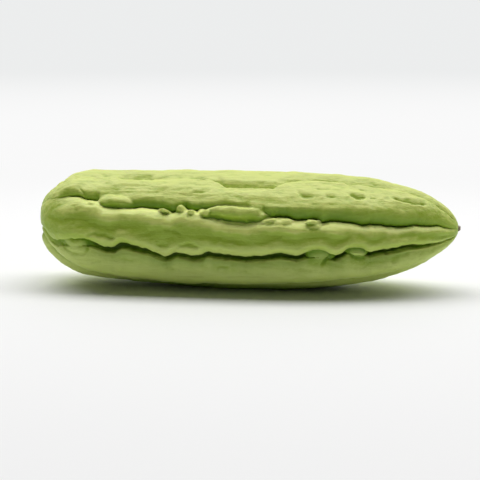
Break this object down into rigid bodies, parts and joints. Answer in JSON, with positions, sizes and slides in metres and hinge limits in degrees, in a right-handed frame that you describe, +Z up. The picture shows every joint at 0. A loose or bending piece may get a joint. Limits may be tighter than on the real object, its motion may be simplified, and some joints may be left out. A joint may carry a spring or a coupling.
{
  "type": "bitter gourd",
  "caption": "Whole bitter gourd lying on its side: a long, pale green, deeply ribbed and lumpy fruit, blunt at the stem end and pointed at the flower end.",
  "frame": {"origin": "on the surface the gourd lies on, under the middle of its box", "axes": "+Z up, +X along the fruit's length towards the pointed flower end, -Y towards the side that was seen"},
  "size_m": [0.237, 0.0672, 0.0663],
  "materials": {
    "skin": "satin",
    "cut_stalk": "matte",
    "dry_flower": "matte"
  },
  "bodies": {
    "root": {"gourd": "skin", "stalk_stub": "cut_stalk", "blossom_nub": "dry_flower"}
  },
  "joints": []
}
